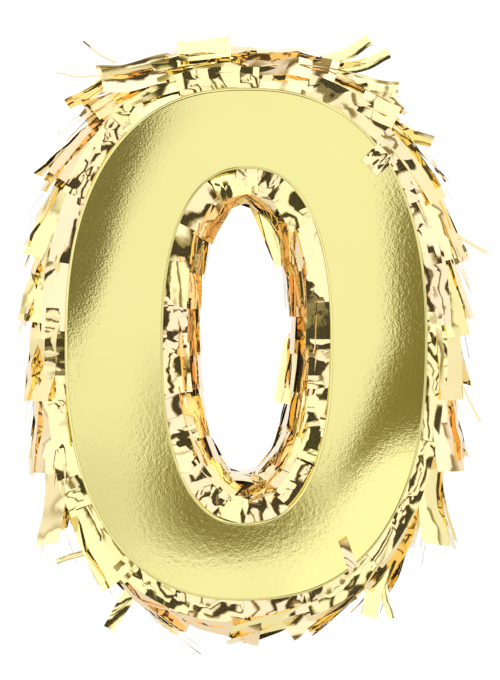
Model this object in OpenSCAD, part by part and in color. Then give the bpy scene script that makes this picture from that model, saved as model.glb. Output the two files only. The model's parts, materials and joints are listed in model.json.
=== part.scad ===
// Number-zero pinata: a hollow card box in the shape of a zero. Two gold card faces are held apart by
// an outer and an inner card wall, and rows of foil fringe are glued over both walls, each row lapping
// the next one down. A flap in the back face opens the box for filling, and a punched hole in the top
// of the outer wall takes the hanging cord.
// Millimetres. X is to the right seen from the front, Y is to the back, Z is up.
// The origin is the middle of the cord hole, on the outer surface of the wall.

/* [Card faces] */
// Height of the card faces
face_h = 200; // [190:1:240]
// Width of the card faces
face_w = 141; // [125:1:170]
// Depth over both card faces
depth = 46; // [40:1:60]
// Thickness of the card faces
panel_t = 1.5; // [1:0.1:2]
// Width of the hole through the zero
hole_w = 65; // [55:1:76]
// Height of the hole through the zero
hole_h = 138; // [110:1:150]
// Squareness of both ovals, where 2 is a true ellipse
squareness = 2.4; // [2.1:0.1:2.8]

/* [Card walls] */
// Thickness of the wall card
wall_t = 1.2; // [0.8:0.1:1.6]
// How far the card faces stand past the walls
overhang = 1; // [0.5:0.1:2]
// Length of the card strip that joins two wall ends
joint_len = 14; // [8:1:20]

/* [Fringe] */
// Rows of fringe down each side of the outer wall
outer_rows = 11; // [9:1:11]
// Rows of fringe down each side of the inner wall
inner_rows = 10; // [8:1:10]
// Thickness of an outer row where it is glued
outer_thin = 5; // [3:0.5:7]
// Thickness of an outer row at its loose lower edge
outer_thick = 12; // [8:0.5:14]
// Thickness of an inner row where it is glued
inner_thin = 5; // [3:0.5:6]
// Thickness of an inner row at its loose lower edge
inner_thick = 9; // [7:0.5:10]

/* [Fill flap] */
// Width of the flap in the back face
flap_w = 22; // [14:1:24]
// Height of the flap in the back face
flap_h = 40; // [25:1:48]
// Height of the flap's lower edge above the middle of the zero
flap_rise = 4; // [0:1:8]
// Diameter of the sticker that seals the flap
seal_d = 18; // [12:1:22]

/* [Hanging hole] */
// Diameter of the hole for the hanging cord
cord_hole_d = 4; // [3:0.5:5]
// Thickness of the card patch that backs the hole
patch_t = 1.5; // [1:0.1:2]

/* [Hidden] */
fringe_names = concat(
    [for (side = ["left", "right"]) for (k = [1:outer_rows]) row_name("outer", side, k)],
    [for (side = ["left", "right"]) for (k = [1:inner_rows]) row_name("inner", side, k)]
);

// A row of fringe follows this many straight steps of its wall
outer_steps = 8;
inner_steps = 6;
// The cord hole stays open between the two top rows, which start this many steps from the middle
top_gap_steps = 1;
// The card patch behind the cord hole covers this many steps each side
patch_steps = 3;
patch_depth = 24;
tape_t = 0.25;
tape_leg = 6;
// A cut line in the card, and the gap that a butt joint leaves
cut = 0.35;
// The flap stands this little proud of the back face, so that the seal clears the face as it opens
flap_proud = 0.03;
seal_t = 0.2;
hinge_tape_h = 9;
// Angle between the points that an oval's length is measured over, in degrees
fine = 0.5;

// The middle of the zero, below the cord hole
middle_z = overhang - face_h / 2;
// The wall's inside surfaces, as distances from the edges of the card faces
wall_in = overhang + wall_t;
// The walls and the fringe fill the depth between the two faces
front_y = -depth / 2;
back_y = depth / 2;
inside_front_y = front_y + panel_t;
inside_back_y = back_y - panel_t;
// The flap is in the middle of the right-hand limb, seen from the front
flap_x = (face_w + hole_w) / 4;
flap_top = flap_rise + flap_h;

function two_digits(k) = k < 10 ? str("0", k) : str(k);
function row_name(wall, side, k) = str(wall, "_fringe_", side, "_", two_digits(k));

// ---- Ovals -------------------------------------------------------------------------------------

function signed_power(v, p) = sign(v) * pow(abs(v), p);

// A point on the right half of an oval, at an angle that grows from the top to the bottom
function oval_point(a, b, angle) = [
    a * pow(max(sin(angle), 0), 2 / squareness),
    b * signed_power(cos(angle), 2 / squareness)
];

// The oval's outward direction at a point on it
function oval_normal(a, b, p) =
    let (g = [signed_power(p[0] / a, squareness - 1) / a, signed_power(p[1] / b, squareness - 1) / b])
    g / norm(g);

// Length along the right half of the oval from the top, paired with the angle it is reached at
function oval_lengths(a, b) = [
    for (
        angle = 0, length = 0;
        angle <= 180;
        angle = angle + fine,
        length = length + norm(oval_point(a, b, min(angle, 180)) - oval_point(a, b, angle - fine))
    ) [length, angle]
];

// Right half of an oval as [point, outward direction] pairs, evenly spaced from the top to the bottom
function half_oval(a, b, count) =
    let (lengths = oval_lengths(a, b), total = lengths[len(lengths) - 1][0])
    [for (i = [0:count])
        let (p = oval_point(a, b, lookup(total * i / count, lengths)))
        [p, oval_normal(a, b, p)]];

function mirrored(v) = [-v[0], v[1]];

// The whole oval, clockwise from the top
function whole_oval(half) = concat(
    half,
    [for (i = [len(half) - 2:-1:1]) [mirrored(half[i][0]), mirrored(half[i][1])]]
);

function reversed(list) = [for (i = [len(list) - 1:-1:0]) list[i]];

// Points from one step to another, moved outwards. Steps left of the top are negative.
function run(oval, first, last, out) = [
    for (i = [first:last])
        let (at = oval[(i + len(oval)) % len(oval)])
        at[0] + at[1] * out
];

outer_half_steps = outer_rows * outer_steps;
inner_half_steps = inner_rows * inner_steps;
outer_oval = whole_oval(half_oval(face_w / 2, face_h / 2, outer_half_steps));
hole_oval = whole_oval(half_oval(hole_w / 2, hole_h / 2, inner_half_steps));

// ---- Shapes that repeat ------------------------------------------------------------------------

// Carries a drawing of the zero's front to its place, from y0 back to y1
module slab(y0, y1) {
    translate([0, y1, middle_z]) rotate([90, 0, 0]) linear_extrude(y1 - y0) children();
}

module filled_oval(oval, out) {
    polygon(run(oval, 0, len(oval) - 1, out));
}

module ring(oval, out_a, out_b) {
    difference() {
        filled_oval(oval, max(out_a, out_b));
        filled_oval(oval, min(out_a, out_b));
    }
}

// Part of a wall or of something that lies on it
module arc_band(oval, first, last, out_a, out_b) {
    polygon(concat(run(oval, first, last, out_a), reversed(run(oval, first, last, out_b))));
}

// One row of fringe: thin where it is glued, thick at its loose lower edge
module fringe_band(oval, first, last, glue, thin, thick) {
    loose = [for (i = [last:-1:first])
        let (at = oval[i], down = (i - first) / (last - first))
        at[0] + at[1] * (glue + thin + (thick - thin) * down)];
    polygon(concat(run(oval, first, last, glue), loose));
}

module right_outer_row(k) {
    first = max((k - 1) * outer_steps, top_gap_steps);
    slab(inside_front_y, inside_back_y)
        fringe_band(outer_oval, first, k * outer_steps, -overhang, outer_thin, outer_thick);
}

module right_inner_row(k) {
    first = (k - 1) * inner_steps;
    slab(inside_front_y, inside_back_y)
        fringe_band(hole_oval, first, first + inner_steps, overhang, -inner_thin, -inner_thick);
}

// Folded tape in the corner between a wall and a face: one leg lies on each
module seam_tape(oval, out_wall, out_leg, face_y, inwards) {
    towards_hole = sign(out_leg - out_wall);
    face_end = face_y + inwards * tape_t;
    wall_end = face_y + inwards * tape_leg;
    slab(min(face_y, face_end), max(face_y, face_end)) ring(oval, out_wall, out_leg);
    slab(min(face_y, wall_end), max(face_y, wall_end))
        ring(oval, out_wall, out_wall + towards_hole * tape_t);
}

// ---- Card parts --------------------------------------------------------------------------------

module face_outline() {
    difference() {
        filled_oval(outer_oval, 0);
        filled_oval(hole_oval, 0);
    }
}

module flap_outline(grow) {
    translate([flap_x - flap_w / 2 - grow, flap_rise - grow]) square([flap_w + 2 * grow, flap_h + 2 * grow]);
}

module front_panel() {
    color("khaki") slab(front_y, inside_front_y) face_outline();
}

module back_panel() {
    color("khaki") slab(inside_back_y, back_y) difference() {
        face_outline();
        flap_outline(cut);
    }
}

module fill_flap() {
    color("khaki") slab(inside_back_y + flap_proud, back_y + flap_proud) flap_outline(0);
}

// Tape along the flap's top edge, on the back face. The flap turns about its lower edge.
module flap_hinge_tape() {
    color("gold") slab(back_y, back_y + tape_t)
        translate([flap_x - flap_w / 2, flap_top + cut]) square([flap_w, hinge_tape_h]);
}

module seal_sticker() {
    color("goldenrod") translate([flap_x, back_y + flap_proud, middle_z + flap_rise])
        rotate([-90, 0, 0]) cylinder(h = seal_t, d = seal_d, $fn = 48);
}

module cord_hole() {
    cylinder(h = 4 * (wall_t + patch_t), d = cord_hole_d, center = true, $fn = 48);
}

module outer_wall_upper() {
    quarter = outer_half_steps / 2;
    color("tan") difference() {
        slab(inside_front_y, inside_back_y)
            arc_band(outer_oval, -ceil(quarter), ceil(quarter), -overhang, -wall_in);
        cord_hole();
    }
}

module outer_wall_lower() {
    quarter = ceil(outer_half_steps / 2);
    color("tan") slab(inside_front_y, inside_back_y)
        arc_band(outer_oval, quarter, 2 * outer_half_steps - quarter, -overhang, -wall_in);
}

// A strip of card inside the wall, across the butt joint of its upper and lower halves
module right_wall_joint() {
    middle = ceil(outer_half_steps / 2);
    step_len = norm(outer_oval[middle][0] - outer_oval[middle + 1][0]);
    reach = ceil(joint_len / 2 / step_len);
    color("burlywood") slab(inside_front_y + tape_leg, inside_back_y - tape_leg)
        arc_band(outer_oval, middle - reach, middle + reach, -wall_in, -wall_in - wall_t);
}

module left_wall_joint() {
    mirror([1, 0, 0]) right_wall_joint();
}

// One strip bent round the hole, its ends meeting at the bottom
module inner_wall() {
    color("tan") slab(inside_front_y, inside_back_y) difference() {
        ring(hole_oval, overhang, wall_in);
        translate([-cut / 2, -hole_h / 2 - wall_in - 1]) square([cut, wall_in + 2]);
    }
}

module inner_wall_joint() {
    step_len = norm(hole_oval[inner_half_steps][0] - hole_oval[inner_half_steps + 1][0]);
    reach = ceil(joint_len / 2 / step_len);
    color("burlywood") slab(inside_front_y + tape_leg, inside_back_y - tape_leg)
        arc_band(hole_oval, inner_half_steps - reach, inner_half_steps + reach, wall_in, wall_in + wall_t);
}

module hanger_patch() {
    color("burlywood") difference() {
        slab(-patch_depth / 2, patch_depth / 2)
            arc_band(outer_oval, -patch_steps, patch_steps, -wall_in, -wall_in - patch_t);
        cord_hole();
    }
}

module outer_seam_tape(face_y, inwards) {
    color("wheat") seam_tape(outer_oval, -wall_in, -wall_in - tape_leg, face_y, inwards);
}

module inner_seam_tape(face_y, inwards) {
    color("wheat") seam_tape(hole_oval, wall_in, wall_in + tape_leg, face_y, inwards);
}

// ---- The nodes ---------------------------------------------------------------------------------

front_panel();
back_panel();
fill_flap();
flap_hinge_tape();
seal_sticker();
outer_wall_upper();
outer_wall_lower();
left_wall_joint();
right_wall_joint();
inner_wall();
inner_wall_joint();
hanger_patch();
outer_seam_tape(inside_front_y, 1);  // front_outer_seam_tape
inner_seam_tape(inside_front_y, 1);  // front_inner_seam_tape
outer_seam_tape(inside_back_y, -1);  // back_outer_seam_tape
inner_seam_tape(inside_back_y, -1);  // back_inner_seam_tape

for (k = [1:outer_rows]) {
    color("gold") right_outer_row(k);
    color("gold") mirror([1, 0, 0]) right_outer_row(k);
}
for (k = [1:inner_rows]) {
    color("gold") right_inner_row(k);
    color("gold") mirror([1, 0, 0]) right_inner_row(k);
}
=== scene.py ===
"""Number-zero pinata, dressed around its packed card box.

A hollow card box in the shape of a zero. Two faces of mirror-gold card are held apart by card walls,
and rows of cut gold foil are glued over both walls, each row lapping the next one down. A taped flap
in the back face opens the box for filling.
"""

import json
import logging
import math
import random
from collections.abc import Callable, Mapping, Sequence
from dataclasses import dataclass, field
from enum import Enum

import bmesh
import bpy
import numpy as np
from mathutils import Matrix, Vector


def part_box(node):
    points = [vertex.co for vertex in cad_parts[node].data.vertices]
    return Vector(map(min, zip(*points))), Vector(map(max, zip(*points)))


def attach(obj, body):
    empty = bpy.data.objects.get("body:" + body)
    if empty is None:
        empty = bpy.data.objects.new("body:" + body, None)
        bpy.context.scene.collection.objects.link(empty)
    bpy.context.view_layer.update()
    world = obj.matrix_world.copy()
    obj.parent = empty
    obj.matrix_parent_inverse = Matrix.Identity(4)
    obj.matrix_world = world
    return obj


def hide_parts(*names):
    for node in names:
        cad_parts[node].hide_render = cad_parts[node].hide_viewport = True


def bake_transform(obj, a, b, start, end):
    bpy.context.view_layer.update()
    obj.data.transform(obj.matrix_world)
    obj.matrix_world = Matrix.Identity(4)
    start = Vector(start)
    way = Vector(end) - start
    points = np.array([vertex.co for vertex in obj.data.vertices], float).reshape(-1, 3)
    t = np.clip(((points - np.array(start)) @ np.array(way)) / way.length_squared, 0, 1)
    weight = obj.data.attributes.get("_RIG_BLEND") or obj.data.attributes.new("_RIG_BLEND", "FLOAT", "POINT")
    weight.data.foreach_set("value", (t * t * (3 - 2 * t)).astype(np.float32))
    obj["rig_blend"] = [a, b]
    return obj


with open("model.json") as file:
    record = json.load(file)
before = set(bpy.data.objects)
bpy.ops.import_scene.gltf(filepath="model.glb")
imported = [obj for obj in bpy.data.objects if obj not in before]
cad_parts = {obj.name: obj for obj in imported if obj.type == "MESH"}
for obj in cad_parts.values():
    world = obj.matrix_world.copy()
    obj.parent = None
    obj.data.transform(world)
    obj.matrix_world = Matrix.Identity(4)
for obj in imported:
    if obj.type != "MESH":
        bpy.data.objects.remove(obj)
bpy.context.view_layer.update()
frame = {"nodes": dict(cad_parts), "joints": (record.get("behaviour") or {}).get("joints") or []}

log = logging.getLogger("pinata")

MM = 0.001
SHARP_CARD = math.radians(40)
BOX, FLAP = "box", "flap"


class Side(Enum):
    """Which half of the zero a row of foil is on, seen from the front."""

    LEFT = -1
    RIGHT = 1


# ---- Nodes and colours ---------------------------------------------------------------------------


def linear(colour: str) -> tuple[float, float, float, float]:
    """Turns an sRGB hex colour into the linear values that shaders use.

    Args:
        colour: six hex digits after a hash.

    Returns:
        Linear red, green, blue and an alpha of one.
    """
    parts = [int(colour[i : i + 2], 16) / 255 for i in (1, 3, 5)]
    return (*(c / 12.92 if c <= 0.04045 else ((c + 0.055) / 1.055) ** 2.4 for c in parts), 1.0)


def add_node(
    tree: bpy.types.NodeTree, kind: str, inputs: Mapping | None = None, **settings
) -> bpy.types.Node:
    """Adds a node with its settings and links.

    Args:
        tree: the tree that the node goes in.
        kind: Blender's name for the node.
        inputs: input name or number to a socket or figure to link from, or a value to set.
        settings: the node's own properties.

    Returns:
        The new node.
    """
    node = tree.nodes.new(kind)
    for name, value in settings.items():
        setattr(node, name, value)
    for key, value in (inputs or {}).items():
        value = getattr(value, "socket", value)
        if isinstance(value, bpy.types.NodeSocket):
            tree.links.new(value, node.inputs[key])
        else:
            node.inputs[key].default_value = value
    return node


def sum_step(operation: str, swap: bool = False) -> Callable[["Figure", "Figure | float"], "Figure"]:
    """Makes one of the operators of Figure.

    Args:
        operation: the step, as a Math node calls it.
        swap: whether the other number comes first.

    Returns:
        The operator.
    """

    def operator(this: "Figure", other: "Figure | float") -> "Figure":
        """Works out the step."""
        return this.work(operation, *((other, this) if swap else (this, other)))

    return operator


@dataclass(frozen=True)
class Figure:
    """A number that a node tree works out, so that its sums read as sums."""

    tree: bpy.types.NodeTree
    socket: bpy.types.NodeSocket

    @classmethod
    def of(
        cls,
        tree: bpy.types.NodeTree,
        kind: str,
        inputs: Mapping | None = None,
        output: int | str = 0,
        **settings,
    ) -> "Figure":
        """Adds a node and takes one of its outputs.

        Args:
            tree: the tree that the node goes in.
            kind: Blender's name for the node.
            inputs: what goes in, as for add_node.
            output: which output, by number or name.
            settings: the node's own properties.

        Returns:
            The output.
        """
        return cls(tree, add_node(tree, kind, inputs, **settings).outputs[output])

    def work(self, operation: str, *parts: "Figure | float") -> "Figure":
        """Works out one step of a sum.

        Args:
            operation: the step, as a Math node calls it.
            parts: what it is worked out from, in order.

        Returns:
            The result.
        """
        return Figure.of(self.tree, "ShaderNodeMath", dict(enumerate(parts)), operation=operation)

    __add__ = __radd__ = sum_step("ADD")
    __sub__, __rsub__ = sum_step("SUBTRACT"), sum_step("SUBTRACT", swap=True)
    __mul__ = __rmul__ = sum_step("MULTIPLY")
    __truediv__, __rtruediv__ = sum_step("DIVIDE"), sum_step("DIVIDE", swap=True)
    __pow__ = sum_step("POWER")
    most = sum_step("MAXIMUM")

    def __abs__(self) -> "Figure":
        """Drops the sign."""
        return self.work("ABSOLUTE", self)

    def step(self, low: float, high: float) -> "Figure":
        """Works out a smooth step.

        Args:
            low: where the step is 0.
            high: where it is 1. It may be less than low.

        Returns:
            The step.
        """
        inputs = {"Value": self, "From Min": low, "From Max": high}
        return Figure.of(self.tree, "ShaderNodeMapRange", inputs, interpolation_type="SMOOTHSTEP")


# ---- Finishes ------------------------------------------------------------------------------------


def new_material(name: str) -> tuple[bpy.types.Material, bpy.types.NodeTree, bpy.types.NodeSocket]:
    """Starts a node material.

    Args:
        name: the material's name.

    Returns:
        The material, its tree and the socket that gives a point's place in metres.
    """
    material = bpy.data.materials.new(name)
    material.use_nodes = True
    tree = material.node_tree
    return material, tree, add_node(tree, "ShaderNodeTexCoord").outputs["Object"]


@dataclass(frozen=True)
class Finish:
    """What every finish has: two shades of its colour, its roughness, its relief and how far it is metal."""

    name: str
    colour: str
    varied: str
    roughness: float
    relief: float
    strength: float = 1.0
    metal: float = 0.0

    def coat(
        self, material: bpy.types.Material, share: Figure, height: Figure, rough: Figure
    ) -> bpy.types.Material:
        """Links the finish's patterns to the material's shader.

        Args:
            material: the material.
            share: how far the colour goes from its first shade to its second, from 0 to 1.
            height: the height of the relief, from 0 to 1.
            rough: the roughness.

        Returns:
            The finished material.
        """
        tree = material.node_tree
        shader = tree.nodes["Principled BSDF"].inputs
        blend = {0: share, 6: linear(self.colour), 7: linear(self.varied)}
        shade = add_node(tree, "ShaderNodeMix", blend, data_type="RGBA")
        relief = {"Height": height, "Strength": self.strength, "Distance": self.relief}
        bump = add_node(tree, "ShaderNodeBump", relief)
        tree.links.new(shade.outputs[2], shader["Base Color"])
        tree.links.new(bump.outputs[0], shader["Normal"])
        tree.links.new(rough.socket, shader["Roughness"])
        shader["Metallic"].default_value = self.metal
        return material


@dataclass(frozen=True)
class MirrorCard(Finish):
    """Metallised polyester film laminated to board: a mirror with an orange-peel surface."""

    name: str = "gold_film_laminated_card"
    colour: str = "#EBE49C"
    varied: str = "#E9DF94"
    roughness: float = 0.02
    relief: float = 0.0095 * MM
    metal: float = 1.0
    patch: float = 38 * MM
    peel: float = 0.8 * MM
    peel_height: float = 0.0042 * MM
    creep: float = 1.4 * MM
    pucker_low: tuple[float, float] = (-112 * MM, -150 * MM)
    pucker_right: tuple[float, float] = (36 * MM, 54 * MM)

    def build(self) -> bpy.types.Material:
        """Makes the material.

        Returns:
            The finished material.
        """
        material, tree, place = new_material(self.name)
        split = add_node(tree, "ShaderNodeSeparateXYZ", {0: place})
        x, _, z = (Figure(tree, part) for part in split.outputs)
        noise = {"Vector": place, "Scale": 1 / self.patch, "Detail": 1.0}
        patchy = Figure.of(tree, "ShaderNodeTexNoise", noise)
        # The laminate puckers most low down, and down the right edge where the roller ran out of true.
        low = (z + 0.35 * x).step(*self.pucker_low)
        right = x.step(*self.pucker_right) * 0.4
        puckered = low.most(right) * (0.35 + 1.1 * patchy) + 0.11
        noise = {"Vector": place, "Scale": 1 / self.peel, "Detail": 2.0}
        peel = Figure.of(tree, "ShaderNodeTexNoise", noise)
        # Film creeps between rollers in short upright wrinkles.
        drawn = Figure.of(tree, "ShaderNodeMapping", {"Vector": place, "Scale": (1.0, 1.0, 0.8)})
        noise = {"Vector": drawn, "Scale": 1 / self.creep, "Detail": 4.0}
        creep = Figure.of(tree, "ShaderNodeTexNoise", noise)
        height = peel * (self.peel_height / self.relief) + creep * puckered
        return self.coat(material, patchy, height, puckered * 0.02 + self.roughness)


@dataclass(frozen=True)
class FoilFilm(Finish):
    """Gold-lacquered metallised polyester film, 20 microns thick, cut into strips with a fringe cutter.

    Its shades are rose and lemon. The lacquer over the metal scatters a little light, which shows deep
    between the strips, so the film is a little less than all metal.
    """

    name: str = "gold_metallised_polyester_film"
    colour: str = "#FCE3BC"
    varied: str = "#FCF0AC"
    roughness: float = 0.02
    relief: float = 0.012 * MM
    metal: float = 0.965
    crinkle: float = 3.0 * MM
    smear: float = 9 * MM

    def build(self) -> bpy.types.Material:
        """Makes the material.

        Returns:
            The finished material.
        """
        material, tree, place = new_material(self.name)
        tone = Figure.of(tree, "ShaderNodeAttribute", output="Fac", attribute_name="tone")
        # Handling leaves soft creases finer than the folds of the mesh.
        noise = {"Vector": place, "Scale": 1 / self.crinkle, "Detail": 2.0}
        creases = Figure.of(tree, "ShaderNodeTexNoise", noise)
        noise = {"Vector": place, "Scale": 1 / self.smear, "Detail": 2.0}
        smear = Figure.of(tree, "ShaderNodeTexNoise", noise)
        return self.coat(material, tone, creases, smear * 0.03 + self.roughness)


@dataclass(frozen=True)
class GreyBoard(Finish):
    """Grey board pressed from waste paper: dull, with short fibres and darker flecks."""

    name: str = "pressed_grey_board"
    colour: str = "#A5977F"
    varied: str = "#7C6F5B"
    roughness: float = 0.9
    relief: float = 0.05 * MM
    strength: float = 0.6
    fibre: float = 0.8 * MM
    fleck: float = 3.2 * MM

    def build(self) -> bpy.types.Material:
        """Makes the material.

        Returns:
            The finished material.
        """
        material, tree, place = new_material(self.name)
        laid = Figure.of(tree, "ShaderNodeMapping", {"Vector": place, "Scale": (1.0, 0.3, 1.0)})
        noise = {"Vector": laid, "Scale": 1 / self.fibre, "Detail": 4.0}
        fibres = Figure.of(tree, "ShaderNodeTexNoise", noise)
        cells = {"Vector": place, "Scale": 1 / self.fleck}
        flecks = Figure.of(tree, "ShaderNodeTexVoronoi", cells, "Distance")
        dark = Figure.of(tree, "ShaderNodeMapRange", {"Value": flecks, "From Min": 0.22, "From Max": 0.1})
        share = fibres * 0.7 + dark * 0.3
        return self.coat(material, share, fibres, self.roughness - fibres * 0.08)


@dataclass(frozen=True)
class Tape(Finish):
    """What both tapes have: one pattern, drawn out along the tape."""

    size: float = 1.0 * MM
    drawn: tuple[float, float, float] = (1.0, 1.0, 1.0)
    detail: float = 2.0

    def build(self) -> bpy.types.Material:
        """Makes the material.

        Returns:
            The finished material.
        """
        material, tree, place = new_material(self.name)
        laid = Figure.of(tree, "ShaderNodeMapping", {"Vector": place, "Scale": self.drawn})
        noise = {"Vector": laid, "Scale": 1 / self.size, "Detail": self.detail}
        pattern = Figure.of(tree, "ShaderNodeTexNoise", noise)
        return self.coat(material, pattern, pattern, pattern * 0.1 + self.roughness)


@dataclass(frozen=True)
class KraftTape(Tape):
    """Gummed kraft paper tape: brown, calendered on one side, with long fibres."""

    name: str = "gummed_kraft_tape"
    colour: str = "#C9A474"
    varied: str = "#B08A5A"
    roughness: float = 0.62
    relief: float = 0.03 * MM
    strength: float = 0.5
    size: float = 0.7 * MM
    drawn: tuple[float, float, float] = (1.0, 0.2, 1.0)
    detail: float = 3.0


@dataclass(frozen=True)
class GoldTape(Tape):
    """Self-adhesive metallised tape: gold, rubbed down by thumb, so it has broad shallow wrinkles."""

    name: str = "gold_metallised_tape"
    colour: str = "#F0D890"
    varied: str = "#E8CC80"
    roughness: float = 0.16
    relief: float = 0.06 * MM
    metal: float = 1.0
    size: float = 3.5 * MM


# ---- Shapes --------------------------------------------------------------------------------------


@dataclass(frozen=True)
class Oval:
    """One of the zero's two outlines, a squared ellipse about the middle of the zero."""

    half_width: float
    half_height: float
    middle: float = -99.0 * MM
    squareness: float = 2.4
    steps: int = 1440

    def points(
        self, fractions: Sequence[float], side: Side = Side.RIGHT, out: float = 0.0
    ) -> np.ndarray:
        """Points on one half of the oval, by their share of its length from the top to the bottom.

        Args:
            fractions: shares of the half's length. Below 0 and above 1 they run on round the other half.
            side: which half.
            out: how far to move each point outwards, in metres.

        Returns:
            One row of x and z for each fraction.
        """
        start, end = self.steps, 2 * self.steps
        angle = np.linspace(-math.pi, 2 * math.pi, 3 * self.steps + 1)
        sine, cosine = np.sin(angle), np.cos(angle)
        x = self.half_width * np.sign(sine) * np.abs(sine) ** (2 / self.squareness)
        z = self.half_height * np.sign(cosine) * np.abs(cosine) ** (2 / self.squareness)
        gx = np.sign(x) * np.abs(x / self.half_width) ** (self.squareness - 1) / self.half_width
        gz = np.sign(z) * np.abs(z / self.half_height) ** (self.squareness - 1) / self.half_height
        size = np.hypot(gx, gz)
        length = np.concatenate([[0], np.cumsum(np.hypot(np.diff(x), np.diff(z)))])
        share = (length - length[start]) / (length[end] - length[start])
        x = np.interp(fractions, share, x + out * gx / size)
        z = np.interp(fractions, share, z + out * gz / size)
        return np.stack([side.value * x, self.middle + z], axis=1)

    def half_length(self) -> float:
        """Length of one half of the oval, in metres."""
        corners = self.points(np.linspace(0, 1, 721))
        return float(np.hypot(*np.diff(corners, axis=0).T).sum())


OUTER = Oval(half_width=70.5 * MM, half_height=100.0 * MM)
HOLE = Oval(half_width=32.5 * MM, half_height=69.0 * MM)


def link(obj: bpy.types.Object) -> bpy.types.Object:
    """Puts an object in the scene and returns it."""
    bpy.context.scene.collection.objects.link(obj)
    return obj


def bake(obj: bpy.types.Object, name: str) -> bpy.types.Object:
    """Turns an object with modifiers into a plain mesh piece.

    Args:
        obj: the working object, which is removed.
        name: the piece's name.

    Returns:
        The piece, with no modifiers.
    """
    bpy.context.view_layer.update()
    seen = obj.evaluated_get(bpy.context.evaluated_depsgraph_get())
    mesh = bpy.data.meshes.new_from_object(seen)
    mesh.name = name
    bpy.data.objects.remove(obj)
    return link(bpy.data.objects.new(name, mesh))


def mesh_piece(name: str, points: Sequence, faces: Sequence) -> bpy.types.Object:
    """Makes a smoothly shaded mesh object from points and faces.

    Args:
        name: the object's name.
        points: places in metres.
        faces: lists of point numbers.

    Returns:
        The object, in the scene.
    """
    mesh = bpy.data.meshes.new(name)
    mesh.from_pydata([tuple(p) for p in points], [], [tuple(f) for f in faces])
    mesh.polygons.foreach_set("use_smooth", [True] * len(mesh.polygons))
    mesh.update()
    return link(bpy.data.objects.new(name, mesh))


def face_outward(mesh: bpy.types.Mesh) -> None:
    """Turns the faces of a closed mesh outward.

    Args:
        mesh: the mesh.
    """
    solid = bmesh.new()
    solid.from_mesh(mesh)
    bmesh.ops.recalc_face_normals(solid, faces=solid.faces[:])
    solid.to_mesh(mesh)
    solid.free()


# ---- Card faces ----------------------------------------------------------------------------------


@dataclass
class CardFace:
    """One face of the zero: a ring of mirror card with its cut edges wrapped and slightly rounded."""

    name: str
    y_show: float
    y_inside: float
    bow: float
    round_r: float = 1.0 * MM
    round_y: float = 0.7 * MM
    around: int = 360
    across: int = 16
    corner: int = 5
    hold: float = 0.004

    def section(self) -> list[tuple[float, float, float]]:
        """Works out the ring's cut section, from the shown side round.

        Returns:
            Each point's share of the way from the outer edge to the hole's edge, its inset and its y.
        """
        thick = self.y_inside - self.y_show
        way = math.copysign(1.0, thick)
        r, deep = self.round_r, self.round_y
        rings = [i / self.across for i in range(1, self.across)]
        rings = [0.0, self.hold] + rings + [1 - self.hold, 1.0]
        show = [(u, 0.0, self.y_show - way * self.bow * (4 * u * (1 - u)) ** 2) for u in rings]
        turn = [math.pi / 2 * i / self.corner for i in range(1, self.corner + 1)]
        edge_down = [(r * math.sin(a), self.y_show + way * deep * (1 - math.cos(a))) for a in turn]
        edge_back = [(r * math.cos(a), self.y_inside - way * deep * (1 - math.sin(a))) for a in turn]
        edge = edge_down + [(r, self.y_inside - way * deep)] + edge_back
        hole_edge = [(1.0, out, y) for out, y in edge]
        outer_edge = [(0.0, out, y) for out, y in reversed(edge)]
        inside = [(i / 4, 0.0, self.y_inside) for i in (3, 2, 1)]
        return show + hole_edge + inside + outer_edge

    def build(self, film: bpy.types.Material, board: bpy.types.Material) -> bpy.types.Object:
        """Makes the face.

        Args:
            film: finish of the shown side and the edges.
            board: finish of the side inside the box.

        Returns:
            The finished piece, not yet riding on a body.
        """
        section = self.section()
        shares = np.arange(self.around) * 2 / self.around - 1
        r = self.round_r
        points, faces = [], []
        outer, hole = OUTER.points(shares, out=-r), HOLE.points(shares, out=r)
        outer_edge, hole_edge = OUTER.points(shares), HOLE.points(shares)
        for j in range(self.around):
            for share, out, y in section:
                at = outer[j] * (1 - share) + hole[j] * share
                edge = outer_edge[j] - outer[j] if share < 0.5 else hole_edge[j] - hole[j]
                at = at + edge * out / r
                points.append((at[0], y, at[1]))
        count = len(section)
        for j in range(self.around):
            here, there = j * count, (j + 1) % self.around * count
            for i in range(count):
                after = (i + 1) % count
                faces.append((here + i, here + after, there + after, there + i))
        piece = mesh_piece(self.name, points, faces)
        mesh = piece.data
        face_outward(mesh)
        mesh.materials.append(film)
        mesh.materials.append(board)
        half_way = (self.y_inside + self.y_show) / 2
        way = math.copysign(1.0, self.y_inside - self.y_show)
        for face in mesh.polygons:
            if face.normal.y * way > 0.9 and (face.center.y - half_way) * way > 0:
                face.material_index = 1
        return piece


# ---- Foil fringe ---------------------------------------------------------------------------------


@dataclass
class Strip:
    """One cut strip of foil, by where its edges lie over the wall's section and how it hangs."""

    glue: float
    front: tuple[float, float]
    back: tuple[float, float]
    length: float
    hug: float = 0.5
    root: float = 0.6
    slant: float = 0.0
    kick: float = 0.0
    lift: float = 0.0
    sway: float = 0.0
    droop: float = 0.0
    twist: float = 0.0
    roll: float = 0.0
    fold: float = 0.0
    fold_a: tuple[float, float, float] = (0.0, 0.1, 0.0)
    fold_b: tuple[float, float, float] = (0.1, 0.0, 0.0)
    buckle: float = 0.0
    buckle_rate: float = 0.6
    wave: float = 0.0
    crinkle: float = 0.0
    tone: float = 0.5
    thin: bool = False

    def values(self, number: int) -> dict[str, float]:
        """Lists the strip's numbers for the fringe tree.

        Args:
            number: the strip's number in its row.

        Returns:
            The numbers, by attribute name.
        """
        table = {"number": float(number)}
        for name, value in vars(self).items():
            if isinstance(value, tuple):
                table |= {f"{name}_{i}": part for i, part in enumerate(value)}
            else:
                table[name] = float(value)
        return table


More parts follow.
